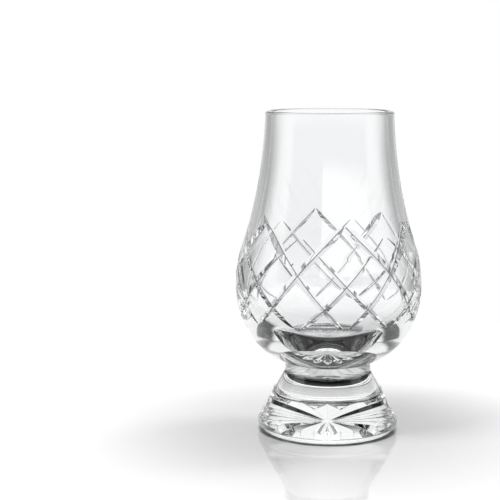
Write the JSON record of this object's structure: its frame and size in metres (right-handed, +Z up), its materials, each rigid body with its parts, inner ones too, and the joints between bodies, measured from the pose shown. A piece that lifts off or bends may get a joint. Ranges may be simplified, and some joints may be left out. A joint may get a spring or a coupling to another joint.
{
  "type": "whisky nosing glass",
  "caption": "Clear cut-crystal tulip nosing glass with a diamond lattice round the bowl, a short solid stem and a star-cut conical foot.",
  "frame": {"origin": "middle of the flat ring under the foot that the glass stands on", "axes": "+Z up along the axis of the glass, towards the mouth; -Y is the side that faces the picture's camera"},
  "size_m": [0.0664, 0.0664, 0.115],
  "materials": {
    "bowl_crystal": "clear cut crystal, polished",
    "stem_crystal": "clear crystal, fire-polished",
    "foot_crystal": "clear cut crystal, polished"
  },
  "bodies": {
    "root": {"bowl": "bowl_crystal", "stem": "stem_crystal", "foot": "foot_crystal"}
  },
  "joints": []
}
